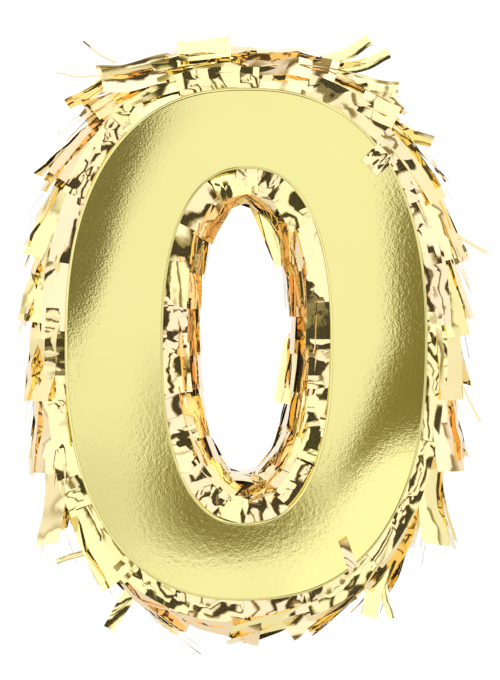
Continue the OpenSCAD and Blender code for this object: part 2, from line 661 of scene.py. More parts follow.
@dataclass(frozen=True)
class LooseEnd:
    """A strip end that has come away from its row and shows against the light. Lengths are in mm.

    It leaves the wall at a share of the half's length from the top, at a height off the card's edge and
    a depth from the box's middle. Its cut end is so far on along the wall and so far out from it.
    """

    side: Side
    share: float
    height: float
    along: float
    out: float
    wide: float
    depth: float = -15.0
    tilt: float = 1.0
    twist: float = 0.1
    sway: float = 0.0
    roll: float = 0.2
    fold: float = 0.3
    tone: float = 0.4
    thin: bool = False

    def strip(self, start: float, half: float) -> Strip:
        """Makes the strip, with its width square to the way it points.

        Args:
            start: length of the wall's line before the top middle.
            half: length of the oval's half.

        Returns:
            The strip.
        """
        length = math.hypot(self.along, self.out)
        cosine, sine = self.along / length, self.out / length
        return Strip(
            glue=start + self.share * half,
            front=((self.depth - self.tilt / 2) * MM, (self.height - cosine * self.wide / 2) * MM),
            back=((self.depth + self.tilt / 2) * MM, (self.height + cosine * self.wide / 2) * MM),
            length=self.along * MM,
            hug=0.0,
            root=1.0,
            slant=-sine * self.wide * MM,
            kick=self.out * MM,
            sway=self.sway * MM,
            twist=self.twist,
            roll=self.roll * MM,
            fold=self.fold * MM,
            fold_a=(0.02, 0.09, 0.6),
            fold_b=(0.07, 0.03, 0.2),
            tone=self.tone,
            thin=self.thin,
        )


@dataclass
class FringeTree:
    """The node tree that lays cut strips of foil along a wall and crumples them."""

    name: str = "cut_foil_fringe"
    wide_cuts: int = 5
    long_cuts: int = 14
    thin_cuts: int = 9
    shuffle_across: float = 0.26
    shuffle_down: float = 0.17
    tree: bpy.types.NodeTree = field(init=False)
    names: dict[str, str] = field(init=False, default_factory=dict)

    def __post_init__(self) -> None:
        """Builds the tree."""
        self.tree = bpy.data.node_groups.new(self.name, "GeometryNodeTree")
        self.add_sockets()
        self.lay_strips()

    def add_sockets(self) -> None:
        """Adds the tree's named inputs and its output."""
        face = self.tree.interface
        face.new_socket("Geometry", in_out="INPUT", socket_type="NodeSocketGeometry")
        sockets = (
            ("Wall path", "NodeSocketObject", None),
            ("Cuts across", "NodeSocketInt", self.wide_cuts),
            ("Cuts along", "NodeSocketInt", self.long_cuts),
            ("Cuts along thin", "NodeSocketInt", self.thin_cuts),
            ("Away from wall", "NodeSocketFloat", 1.0),
            ("Straight across", "NodeSocketFloat", 0.0),
            ("Wave size", "NodeSocketFloat", 9.0 * MM),
            ("Seed", "NodeSocketInt", 7),
            ("Film", "NodeSocketMaterial", None),
        )
        for label, kind, default in sockets:
            socket = face.new_socket(label, in_out="INPUT", socket_type=kind)
            if default is not None:
                socket.default_value = default
            self.names[label] = socket.identifier
        face.new_socket("Geometry", in_out="OUTPUT", socket_type="NodeSocketGeometry")

    def lay_strips(self) -> None:
        """Adds the nodes, from the strips' points to the finished foil."""
        tree = self.tree
        given = add_node(tree, "NodeGroupInput").outputs
        read = {}
        for name in Strip(0.0, (0.0, 0.0), (0.0, 0.0), 0.0).values(0):
            kind = "GeometryNodeInputNamedAttribute"
            read[name] = Figure.of(tree, kind, {"Name": name}, data_type="FLOAT")
        here = add_node(tree, "GeometryNodeInputPosition").outputs[0]
        joined = add_node(tree, "GeometryNodeJoinGeometry")
        sorts = ((0.0, given["Cuts across"], given["Cuts along"]), (1.0, 2, given["Cuts along thin"]))
        for thin, across, along in sorts:
            sizes = {"Size X": 1.0, "Size Y": 1.0, "Vertices X": across, "Vertices Y": along}
            grid = add_node(tree, "GeometryNodeMeshGrid", sizes).outputs["Mesh"]
            marked = add_node(
                tree,
                "GeometryNodeStoreNamedAttribute",
                {"Geometry": grid, "Name": "on_strip", "Value": here},
                data_type="FLOAT_VECTOR",
                domain="POINT",
            )
            inputs = {0: read["thin"], 1: thin, "Epsilon": 0.1}
            chosen = Figure.of(tree, "FunctionNodeCompare", inputs, operation="EQUAL")
            inputs = {"Points": given["Geometry"], "Selection": chosen, "Instance": marked.outputs[0]}
            laid = add_node(tree, "GeometryNodeInstanceOnPoints", inputs)
            tree.links.new(laid.outputs[0], joined.inputs[0])
        loose = add_node(tree, "GeometryNodeRealizeInstances", {0: joined.outputs[0]}).outputs[0]
        place = self.strip_place(read, given)
        moved = add_node(tree, "GeometryNodeSetPosition", {"Geometry": loose, "Position": place}).outputs[0]
        smooth = add_node(tree, "GeometryNodeSetShadeSmooth", {"Geometry": moved}).outputs[0]
        real = add_node(tree, "GeometryNodeRealizeInstances", {0: smooth}).outputs[0]
        dressed = add_node(tree, "GeometryNodeSetMaterial", {"Geometry": real, "Material": given["Film"]})
        add_node(tree, "NodeGroupOutput", {0: dressed.outputs[0]})

    def strip_place(
        self, r: Mapping[str, Figure], given: bpy.types.NodeOutputs
    ) -> bpy.types.NodeSocket:
        """Adds the nodes that work out where each point of a strip goes.

        Args:
            r: the strips' attributes.
            given: the tree's inputs.

        Returns:
            The socket that gives the place.
        """
        tree = self.tree
        kind = "GeometryNodeInputNamedAttribute"
        spot = Figure.of(tree, kind, {"Name": "on_strip"}, data_type="FLOAT_VECTOR")
        split = add_node(tree, "ShaderNodeSeparateXYZ", {0: spot}).outputs
        # a runs across the strip from -0.5 to 0.5, and t down it from 0 at the glue to 1 at the cut end.
        # The points are shuffled a little, so that the foil creases into uneven facets.
        a, t = Figure(tree, split[0]), Figure(tree, split[1]) + 0.5
        inputs = {0: a * 31.7, 1: t * 17.3, 2: r["number"] * 1.37 + 0.5}
        inputs = {"Vector": Figure.of(tree, "ShaderNodeCombineXYZ", inputs), "W": given["Seed"]}
        noise = Figure.of(tree, "ShaderNodeTexWhiteNoise", inputs, "Color", noise_dimensions="4D")
        shuffle = add_node(tree, "ShaderNodeSeparateXYZ", {0: noise}).outputs
        slip_a, slip_t, jolt = (Figure(tree, part) - 0.5 for part in shuffle)
        a = a + slip_a * (1 - abs(a) * 2) * self.shuffle_across
        t = t + slip_t * t * (1 - t) * self.shuffle_down
        wall = add_node(tree, "GeometryNodeObjectInfo", {"Object": given["Wall path"]}).outputs["Geometry"]
        on_wall = []
        run = t * r["length"] + a * r["slant"]
        for at in (r["glue"] + run, r["glue"], r["glue"] + r["length"]):
            inputs = {"Curves": wall, "Length": at}
            sample = add_node(tree, "GeometryNodeSampleCurve", inputs, mode="LENGTH", use_all_curves=True)
            for output in ("Position", "Tangent"):
                xyz = add_node(tree, "ShaderNodeSeparateXYZ", {0: sample.outputs[output]}).outputs
                on_wall += [Figure(tree, xyz[0]), Figure(tree, xyz[2])]
        px, pz, tx, tz, root_x, root_z, root_tx, root_tz, tip_x, tip_z, _, _ = on_wall
        # A strip follows the wall as far as it hugs it. Otherwise it hangs straight on from its root, or
        # inside the hole, where the wall curves in to meet it, straight across to where its end rests.
        chord = Figure(tree, given["Straight across"])
        root_tx = root_tx * (1 - chord) + (tip_x - root_x) / r["length"] * chord
        root_tz = root_tz * (1 - chord) + (tip_z - root_z) / r["length"] * chord
        free = (1 - r["hug"]) * (t * t * (3 - 2 * t) * (1 - chord) + chord)
        hugs = 1 - free
        along_x = px * hugs + (root_x + root_tx * run) * free
        along_z = pz * hugs + (root_z + root_tz * run) * free
        away = Figure(tree, given["Away from wall"])
        out_x = 0 - away * (tz * hugs + root_tz * free)
        out_z = away * (tx * hugs + root_tx * free)
        # Its section is a chord that turns as it goes down, bent by rolls, folds and crinkles.
        wide_y, wide_r = r["back_0"] - r["front_0"], r["back_1"] - r["front_1"]
        wide = (wide_y * wide_y + wide_r * wide_r) ** 0.5
        turn = r["twist"] * t
        cosine, sine = turn.work("COSINE", turn), turn.work("SINE", turn)
        bend = self.strip_bend(r, given, a, t, wide, jolt) / wide
        across_y, across_r = wide_y * cosine - wide_r * sine, wide_r * cosine + wide_y * sine
        rise = r["root"] + (1 - r["root"]) * t**0.8
        y = (r["front_0"] + r["back_0"]) * 0.5 + a * across_y - bend * across_r + r["sway"] * t * t
        height = (r["front_1"] + r["back_1"]) * 0.5 * rise + a * across_r + bend * across_y
        height = height + r["lift"] * t * t + r["kick"] * t
        x = along_x + out_x * height
        z = along_z + out_z * height - r["droop"] * t * t
        return add_node(tree, "ShaderNodeCombineXYZ", {0: x, 1: y, 2: z}).outputs[0]

    def strip_bend(
        self,
        r: Mapping[str, Figure],
        given: bpy.types.NodeOutputs,
        a: Figure,
        t: Figure,
        wide: Figure,
        jolt: Figure,
    ) -> Figure:
        """Adds the nodes that work out how far each point stands off its strip's flat.

        Args:
            r: the strips' attributes.
            given: the tree's inputs.
            a: where the point is across the strip.
            t: where the point is down the strip.
            wide: the strip's width.
            jolt: a random number for each point.

        Returns:
            The distance.
        """
        tree = self.tree
        across, down = a * wide * (1 / MM), t * r["length"] * (1 / MM)
        zig = []
        for fold in ("fold_a", "fold_b"):
            over = across * r[f"{fold}_0"] + down * r[f"{fold}_1"] + r[f"{fold}_2"]
            zig.append(over.work("PINGPONG", over, 1.0))
        flat = Figure.of(tree, "ShaderNodeCombineXYZ", {0: across, 1: down})
        seed = r["number"] * 3.7 + Figure(tree, given["Seed"])
        scale = MM / Figure(tree, given["Wave size"])
        inputs = {"Vector": flat, "W": seed, "Scale": scale, "Detail": 0.0}
        wave = Figure.of(tree, "ShaderNodeTexNoise", inputs, noise_dimensions="4D") - 0.5
        ripple = down * r["buckle_rate"] + r["number"] * 2.3 + across * 0.12
        return (
            r["roll"] * (1 - 4 * a * a)
            + r["fold"] * (zig[0] + zig[1] - 1)
            + r["buckle"] * ripple.work("SINE", ripple)
            + r["wave"] * wave
            + r["crinkle"] * jolt * (1.3 - t) ** 2
        )


LEFT, RIGHT = Side
LOOSE_ENDS = (
    LooseEnd(LEFT, share=0.14, height=23, along=6, out=14, wide=0.6, thin=True, tone=0.1),
    LooseEnd(LEFT, share=0.15, height=21, along=17, out=13, wide=0.5, thin=True, tone=0.1),
    LooseEnd(LEFT, share=0.15, height=20, along=21, out=2, wide=4.5, depth=-8, tilt=-2.4, tone=0.7),
    LooseEnd(LEFT, share=0.02, height=16, along=20, out=-1, wide=7.5, depth=-17, tilt=3.5, tone=1.0),
    LooseEnd(LEFT, share=0.09, height=16, along=28, out=4, wide=4.5, depth=-12, tilt=2.5, tone=0.2),
    LooseEnd(LEFT, share=0.08, height=13, along=30, out=4, wide=5, depth=-15, tilt=-2.5, tone=0.6, fold=0.9),
    LooseEnd(LEFT, share=0.10, height=10, along=24, out=5, wide=5, depth=-18, tilt=3.0, tone=0.0, fold=0.9),
    LooseEnd(LEFT, share=0.78, height=12, along=-4, out=12, wide=2.2, tilt=-0.5, fold=0.0, tone=0.6),
    LooseEnd(LEFT, share=0.85, height=8, along=2, out=20, wide=4.5, tilt=1.0, twist=2.6, tone=0.8),
    LooseEnd(RIGHT, share=0.09, height=14, along=15, out=15, wide=4.5, depth=-10, tilt=1.5, tone=0.9),
    LooseEnd(RIGHT, share=0.11, height=14, along=16, out=15, wide=4.2, depth=-6, tilt=1.2, tone=1.0),
    LooseEnd(RIGHT, share=0.13, height=13, along=17, out=6, wide=6, depth=-14, tilt=2.6, roll=0.9, tone=0.7),
    LooseEnd(RIGHT, share=0.15, height=8, along=15, out=3, wide=8.5, depth=-21, tilt=3.2, fold=1.0, tone=0.4),
    LooseEnd(RIGHT, share=0.20, height=10, along=15, out=8, wide=5, depth=-12, tilt=-2.2, fold=0.9, tone=0.4),
    LooseEnd(RIGHT, share=0.34, height=11, along=15, out=15, wide=1.2, sway=3.0, thin=True, tone=0.3),
    LooseEnd(RIGHT, share=0.54, height=13, along=19, out=10, wide=0.8, thin=True, tone=0.3),
    LooseEnd(
        RIGHT, share=0.80, height=9, along=23, out=9, wide=6.5, depth=-16, tilt=-1.2, fold=0.1, tone=0.8
    ),
    LooseEnd(RIGHT, share=0.82, height=12, along=10, out=15, wide=2.5, tilt=-0.5, fold=0.0, tone=0.8),
    LooseEnd(RIGHT, share=0.86, height=9, along=30, out=0, wide=7, depth=-18, tilt=2.6, tone=0.2),
    LooseEnd(
        RIGHT, share=0.205, height=-4, along=9, out=1, wide=9, depth=-24.1, tilt=1.5, roll=-0.8, fold=0.5
    ),
    LooseEnd(
        RIGHT, share=0.84, height=0, along=-4, out=-11, wide=4, depth=-23.9, tilt=0.3, twist=0.9, sway=-1.8,
        tone=0.0,
    ),
)
HOLE_ENDS = (
    LooseEnd(RIGHT, share=0.09, height=13, along=31, out=3, wide=5.5, depth=2, tilt=3.0, tone=0.9),
    LooseEnd(RIGHT, share=0.50, height=13, along=26, out=3, wide=6, depth=4, tilt=3.0, tone=0.9),
)


@dataclass
class FringeWall:
    """Rows of cut foil glued over one wall of the zero, on both halves."""

    wall: str
    oval: Oval
    away: int
    rows: int
    height: float
    strip_count: int
    length: tuple[float, float]
    half_depth: float = 21.2 * MM
    edge_r: float = -0.9 * MM
    film_t: float = 0.07 * MM
    run_on: float = 45.0 * MM
    bulge: float = 4.0
    hug: tuple[float, float] = (0.5, 0.9)
    edge_hug: tuple[float, float] = (0.85, 1.0)
    root: tuple[float, float] = (0.55, 0.75)
    loose: float = 1.0
    crumpled: float = 1.0
    sharp: float = 9.0
    seed: int = 1
    flyaways: int = 4
    loose_ends: tuple[LooseEnd, ...] = ()

    def path(self, side: Side) -> bpy.types.Object:
        """Makes the line that the rows are glued along. It starts before the top and ends past the bottom.

        Args:
            side: which half of the zero.

        Returns:
            The line.
        """
        half = self.oval.half_length()
        extra = self.run_on / half
        places = self.oval.points(np.linspace(-extra, 1 + extra, 700), side)
        curve = bpy.data.curves.new(f"{self.wall}_{side.name.lower()}_path", "CURVE")
        curve.dimensions = "3D"
        line = curve.splines.new("POLY")
        line.points.add(len(places) - 1)
        line.points.foreach_set("co", np.array([(x, 0.0, z, 1.0) for x, z in places], float).ravel())
        return link(bpy.data.objects.new(curve.name, curve))

    def section_point(self, share: float, height: float) -> tuple[float, float]:
        """A point on the fringe's section, from the front card (0) over the top to the back card (1).

        Args:
            share: share of the section's length.
            height: how far the fringe stands off the wall at its fullest.

        Returns:
            Its y and its distance from the card's edge.
        """
        angle = np.linspace(-math.pi / 2, math.pi / 2, 361)
        y = self.half_depth * np.sign(np.sin(angle)) * np.abs(np.sin(angle)) ** (2 / self.bulge)
        r = self.edge_r + (height - self.edge_r) * np.abs(np.cos(angle)) ** (2 / self.bulge)
        length = np.concatenate([[0], np.cumsum(np.hypot(np.diff(y), np.diff(r)))])
        at = share * length[-1]
        return float(np.interp(at, length, y)), float(np.interp(at, length, r))

    def row_strips(self, row: int, side: Side, rng: random.Random) -> list[Strip]:
        """Lays out the strips of one row.

        Args:
            row: the row's number from the top.
            side: which half of the zero.
            rng: the row's own random numbers.

        Returns:
            The strips, from front to back, then the thin slivers.
        """
        pitch = self.oval.half_length() / self.rows
        glue = self.run_on + (row - 1) * pitch
        count = self.strip_count
        top = row == 1
        # Below the middle the wall turns in under the strips, and they hang on straight down.
        start, end = self.oval.points([(row - 1) / self.rows, (row - 0.5) / self.rows])
        turned = max(0.0, start[0] - end[0]) / math.dist(start, end)
        under = turned * (1 - turned**2) ** 2 * float(self.away > 0 and self.rows / 2 < row < self.rows - 2)
        strips = []
        cuts = [0.0] + [(i + rng.uniform(-0.18, 0.18)) / count for i in range(1, count)] + [1.0]
        for i in range(count):
            height = self.height * rng.uniform(0.9, 1.06)
            lap = rng.uniform(0.01, 0.035)
            front = self.section_point(max(0.0, cuts[i] - lap), height)
            back = self.section_point(min(1.0, cuts[i + 1] + lap), height)
            edge = i in (0, count - 1)
            middle = i in (count // 2 - 1, count // 2)
            calm = rng.choice((0.2, 0.35, 1.0, 1.0))
            tilt = rng.uniform(-1.1, 1.1) * MM * (1.0 if edge else 0.5)
            back_off = rng.uniform(2.0, 5.0) * (-0.8 if middle else 1.0) if top else rng.uniform(0.0, 3.0)
            free = self.loose * (0.3 if edge else 1.0)
            length = rng.uniform(*self.length) * (0.9 if edge else 1.0 + 0.7 * under)
            hang = length * under * rng.uniform(0.5, 0.9) * (0.0 if edge else 1.0)
            calm = min(calm, 0.35) if hang > 0 else calm * (1.0 if edge else self.crumpled)
            strips.append(
                Strip(
                    glue=glue - back_off * MM,
                    front=front,
                    back=(back[0] + (tilt if i < count / 2 else -tilt), back[1]),
                    length=length,
                    hug=rng.uniform(*(self.edge_hug if edge else self.hug)) * (0.2 if hang > 0 else 1.0),
                    root=rng.uniform(0.8, 0.95) if top or edge else rng.uniform(*self.root),
                    lift=rng.uniform(-0.5, 2.0) * MM * free + hang,
                    sway=rng.uniform(-1.5, 1.5) * MM * free,
                    droop=rng.uniform(0.0, 1.0) * MM * free,
                    twist=rng.uniform(-0.3, 0.3) * (0.6 if edge else self.loose),
                    roll=rng.uniform(-0.3, 0.7) * MM,
                    fold=rng.uniform(0.6, 2.4) * MM * calm,
                    fold_a=self.crease(rng, 0.18),
                    fold_b=self.crease(rng, 0.11),
                    buckle=rng.choice((0.0, 0.0, 0.25)) * rng.uniform(0.5, 1.0) * MM,
                    buckle_rate=rng.uniform(0.3, 0.5),
                    wave=rng.uniform(0.0, 0.8) * MM * calm,
                    crinkle=rng.uniform(0.05, 0.7) * MM * calm * (0.3 + 0.7 * self.loose),
                    tone=rng.random() ** 1.3,
                )
            )
        half = self.oval.half_length()
        ends = [e for e in self.loose_ends if e.side is side and row == 1 + math.floor(e.share * self.rows)]
        return strips + [end.strip(self.run_on, half) for end in ends] + self.slivers(glue, rng)

    def crease(self, rng: random.Random, most: float) -> tuple[float, float, float]:
        """Draws a random fold line.

        Args:
            rng: the row's own random numbers.
            most: the most creases per millimetre.

        Returns:
            Creases per millimetre across and along the strip, and the fold's place.
        """
        angle, tight = rng.uniform(0, math.pi), rng.uniform(0.5, 1.0) * most
        return tight * math.cos(angle), tight * math.sin(angle), rng.uniform(0, 2)

    def slivers(self, glue: float, rng: random.Random) -> list[Strip]:
        """Lays out thin offcuts that stand away from the row.

        Args:
            glue: where the row is glued, along the wall's line.
            rng: the row's own random numbers.

        Returns:
            The offcuts.
        """
        made = []
        for _ in range(rng.randint(0, self.flyaways)):
            share, wide = rng.uniform(0.2, 0.8), rng.uniform(0.005, 0.013)
            height = self.height * rng.uniform(0.9, 1.1)
            made.append(
                Strip(
                    glue=glue + rng.uniform(0, 6) * MM,
                    front=self.section_point(share, height),
                    back=self.section_point(share + wide, height),
                    length=rng.uniform(0.95, 1.15) * self.length[1],
                    hug=rng.uniform(0.35, 0.8),
                    lift=rng.uniform(0.0, 3.6) * MM,
                    sway=rng.uniform(-5, 5) * MM,
                    droop=rng.uniform(0, 4) * MM,
                    twist=rng.uniform(-0.6, 0.6),
                    tone=rng.random(),
                    thin=True,
                )
            )
        return made

    def build_row(
        self,
        row: int,
        side: Side,
        tree: FringeTree,
        path: bpy.types.Object,
        film: bpy.types.Material,
    ) -> bpy.types.Object:
        """Makes one row of foil.

        Args:
            row: the row's number from the top.
            side: which half of the zero.
            tree: the fringe tree.
            path: the line that the row is glued along.
            film: the foil's finish.

        Returns:
            The finished row.
        """
        rng = random.Random(self.seed * 1000 + row * 10 + side.value)
        strips = [s.values(i) for i, s in enumerate(self.row_strips(row, side, rng))]
        name = f"{self.wall}_foil_{side.name.lower()}_{row:02d}"
        mesh = bpy.data.meshes.new(name)
        mesh.from_pydata([(0.0, 0.0, 0.0)] * len(strips), [], [])
        for value in strips[0]:
            column = mesh.attributes.new(value, "FLOAT", "POINT")
            column.data.foreach_set("value", [strip[value] for strip in strips])
        work = link(bpy.data.objects.new(f"{name}_cuts", mesh))
        nodes = work.modifiers.new("lay", "NODES")
        nodes.node_group = tree.tree
        nodes[tree.names["Wall path"]] = path
        nodes[tree.names["Away from wall"]] = float(self.away * side.value)
        nodes[tree.names["Straight across"]] = float(self.away < 0)
        nodes[tree.names["Film"]] = film
        nodes[tree.names["Seed"]] = self.seed * 100 + row
        thick = work.modifiers.new("film", "SOLIDIFY")
        thick.thickness, thick.offset = self.film_t, 0.0
        piece = bake(work, name)
        keep = {"position", "tone", "sharp_face", "material_index"}
        names = [a.name for a in piece.data.attributes if not a.name.startswith(".")]
        for extra in set(names) - keep:
            piece.data.attributes.remove(piece.data.attributes[extra])
        piece.data.set_sharp_from_angle(angle=math.radians(self.sharp))
        return piece

    def build(self, tree: FringeTree, film: bpy.types.Material) -> None:
        """Makes every row on both halves and fixes it to the box.

        Args:
            tree: the fringe tree.
            film: the foil's finish.
        """
        for side in Side:
            path = self.path(side)
            for row in range(1, self.rows + 1):
                piece = self.build_row(row, side, tree, path, film)
                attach(piece, BOX)
                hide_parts(f"{self.wall}_fringe_{side.name.lower()}_{row:02d}")
                log.info("%s: %d faces", piece.name, len(piece.data.polygons))
            bpy.data.objects.remove(path)


# ---- Card box and its filling door ---------------------------------------------------------------


@dataclass
class CardBox:
    """The walls, joints, patch and seam tapes inside, and the two mirror-card faces."""

    walls: tuple[str, ...] = (
        "outer_wall_upper", "outer_wall_lower", "left_wall_joint", "right_wall_joint",
        "inner_wall", "inner_wall_joint", "hanger_patch",
    )
    tapes: tuple[str, ...] = (
        "front_outer_seam_tape", "front_inner_seam_tape", "back_outer_seam_tape", "back_inner_seam_tape",
    )
    cut: float = 0.35 * MM
    cut_reach: float = 5 * MM
    front_bow: float = 0.02 * MM

    def dress(self, nodes: Sequence[str], finish: bpy.types.Material) -> None:
        """Gives card nodes a finish by their material slots.

        Args:
            nodes: the nodes' names.
            finish: the finish.
        """
        for name in nodes:
            for holder in frame["nodes"][name].material_slots:
                holder.material = finish
            log.info("%s: dressed in %s", name, finish.name)

    def build(self, film: bpy.types.Material, board: bpy.types.Material, kraft: bpy.types.Material) -> None:
        """Makes the faces and dresses the card inside.

        Args:
            film: the mirror film.
            board: the grey board.
            kraft: the seam tape.
        """
        self.dress(self.walls, board)
        self.dress(self.tapes, kraft)
        for node, name, bow in (
            ("front_panel", "front_mirror_card", self.front_bow),
            ("back_panel", "back_mirror_card", 0.0),
        ):
            low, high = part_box(node)
            shown, inside = (low.y, high.y) if node == "front_panel" else (high.y, low.y)
            piece = CardFace(name, shown, inside, bow).build(film, board)
            if node == "back_panel":
                piece = self.cut_door(piece)
            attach(piece, BOX)
            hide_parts(node)
            log.info("%s: %d faces", piece.name, len(piece.data.polygons))

    def cut_door(self, piece: bpy.types.Object) -> bpy.types.Object:
        """Cuts the filling door's opening out of the back face.

        Args:
            piece: the face, which is used up.

        Returns:
            The face with its opening.
        """
        low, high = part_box("fill_flap")
        margin = Vector((self.cut, self.cut_reach, self.cut))
        cutter = plate("door_cutter", low - margin, high + margin)
        trim = piece.modifiers.new("door", "BOOLEAN")
        trim.operation, trim.object, trim.solver = "DIFFERENCE", cutter, "EXACT"
        cut = bake(piece, piece.name)
        bpy.data.objects.remove(cutter)
        cut.data.set_sharp_from_angle(angle=SHARP_CARD)
        return cut


def plate(name: str, low: Vector, high: Vector, cuts: int = 0, bevel: float = 0.0) -> bpy.types.Object:
    """Makes a thin plate between two corners.

    Args:
        name: the object's name.
        low: its lowest corner.
        high: its highest corner.
        cuts: how many cuts divide it, each way across its face.
        bevel: radius of its corners and edges.

    Returns:
        The plate, in the scene.
    """
    solid = bmesh.new()
    bmesh.ops.create_cube(solid, size=1.0)
    middle, size = (low + high) / 2, high - low
    for point in solid.verts:
        point.co = Vector(m + c * s for m, c, s in zip(middle, point.co, size))
    if bevel:
        bmesh.ops.bevel(solid, geom=solid.edges[:], offset=bevel, segments=3, affect="EDGES", profile=0.5)
    for axis in (0, 2):
        normal = Vector((axis == 0, 0, axis == 2))
        for i in range(1, cuts + 1):
            at = low + normal * (size[axis] / (cuts + 1) * i)
            geom = solid.verts[:] + solid.edges[:] + solid.faces[:]
            bmesh.ops.bisect_plane(solid, geom=geom, plane_co=at, plane_no=normal)
    mesh = bpy.data.meshes.new(name)
    solid.to_mesh(mesh)
    solid.free()
    mesh.polygons.foreach_set("use_smooth", [True] * len(mesh.polygons))
    mesh.set_sharp_from_angle(angle=SHARP_CARD)
    return link(bpy.data.objects.new(name, mesh))


@dataclass
class FillDoor:
    """The flap cut in the back face, the tape it hinges on and the sticker that seals it."""

    tape_reach: float = 9.0 * MM
    tape_t: float = 0.2 * MM
    bevel: float = 0.25 * MM
    dome: float = 0.05 * MM
    wrinkle: float = 0.02 * MM
    seal_rings: int = 8
    seal_spokes: int = 64
    bend_half: float = 1.2 * MM

    def build(self, film: bpy.types.Material, tape: bpy.types.Material) -> None:
        """Makes the flap, its hinge tape and its seal.

        Args:
            film: the mirror card's film.
            tape: the gold tape.
        """
        low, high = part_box("fill_flap")
        flap = plate("fill_flap_card", low, high, bevel=self.bevel)
        flap.data.materials.append(film)
        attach(flap, FLAP)
        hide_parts("fill_flap")
        self.seal(tape)
        self.hinge(low, high, tape)
        log.info("filling door: flap, hinge tape and seal")

    def seal(self, tape: bpy.types.Material) -> None:
        """Makes the round seal, slightly domed, with small rubbed-down wrinkles.

        Args:
            tape: the gold tape.
        """
        low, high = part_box("seal_sticker")
        middle, radius = (low + high) / 2, (high.x - low.x) / 2
        rings, spokes = self.seal_rings, self.seal_spokes
        rng = random.Random(5)
        points = [(middle.x, high.y + self.dome, middle.z)]
        for i in range(1, rings + 1):
            for j in range(spokes):
                turn = 2 * math.pi * j / spokes
                r = radius * i / rings
                wrinkle = rng.uniform(-self.wrinkle, self.wrinkle) * (i < rings)
                y = high.y + self.dome * (1 - i / rings) + wrinkle
                points.append((middle.x + r * math.cos(turn), y, middle.z + r * math.sin(turn)))
        rim = len(points)
        points += [(x, low.y, z) for x, _, z in points[rim - spokes : rim]]
        points.append((middle.x, low.y, middle.z))
        faces = []
        for j in range(spokes):
            after = (j + 1) % spokes
            faces += [(0, 1 + after, 1 + j), (rim + j, rim + after, len(points) - 1)]
            for here in range(1, rim, spokes):
                out = here + spokes
                faces.append((here + j, here + after, out + after, out + j))
        piece = mesh_piece("seal_sticker_disc", points, faces)
        face_outward(piece.data)
        piece.data.set_sharp_from_angle(angle=SHARP_CARD)
        piece.data.materials.append(tape)
        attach(piece, FLAP)
        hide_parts("seal_sticker")

    def hinge(self, low: Vector, high: Vector, tape: bpy.types.Material) -> None:
        """Makes the tape that the flap turns on: half on the face, half on the flap.

        Args:
            low: the flap's lowest corner.
            high: the flap's highest corner.
            tape: the gold tape.
        """
        _, tape_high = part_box("flap_hinge_tape")
        joint_z = frame["joints"][0]["pos_m"][2]
        piece = plate(
            "flap_hinge_strip",
            Vector((low.x, high.y, joint_z - self.tape_reach)),
            Vector((high.x, high.y + self.tape_t, tape_high.z)),
            cuts=30,
        )
        piece.data.materials.append(tape)
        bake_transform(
            piece, BOX, FLAP,
            start=(low.x, high.y, joint_z + self.bend_half),
            end=(low.x, high.y, joint_z - self.bend_half),
        )
        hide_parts("flap_hinge_tape")


# ---- Studio --------------------------------------------------------------------------------------


@dataclass(frozen=True)
class SoftBox:
    """A lit panel in the studio, by where it hangs about the object, in degrees and in brightness."""

    across: float
    up: float
    half_across: float
    half_up: float
    bright: float
    edge: float = 3.0


@dataclass(frozen=True)
class Ellipse:
    """The edge of a dark or light shape that the front face mirrors, in mm on the face from its middle."""

    x: float
    z: float
    half_x: float
    half_z: float
    power: float
    soft: float

    def outside(self, x: Figure, z: Figure) -> Figure:
        """Works out 1 outside the shape and 0 inside it, with a soft edge.

        Args:
            x: place across the face, in mm.
            z: place up the face, in mm.

        Returns:
            The share outside.
        """
        return self.reach(x, z).step(1 - self.soft, 1 + self.soft)

    def reach(self, x: Figure, z: Figure) -> Figure:
        """Works out 1 on the shape's edge, less inside it and more outside.

        Args:
            x: place across the face, in mm.
            z: place up the face, in mm.

        Returns:
            The reach.
        """
        across, up = abs((x - self.x) / self.half_x), abs((z - self.z) / self.half_z)
        return (across**self.power + up**self.power) ** (1 / self.power)


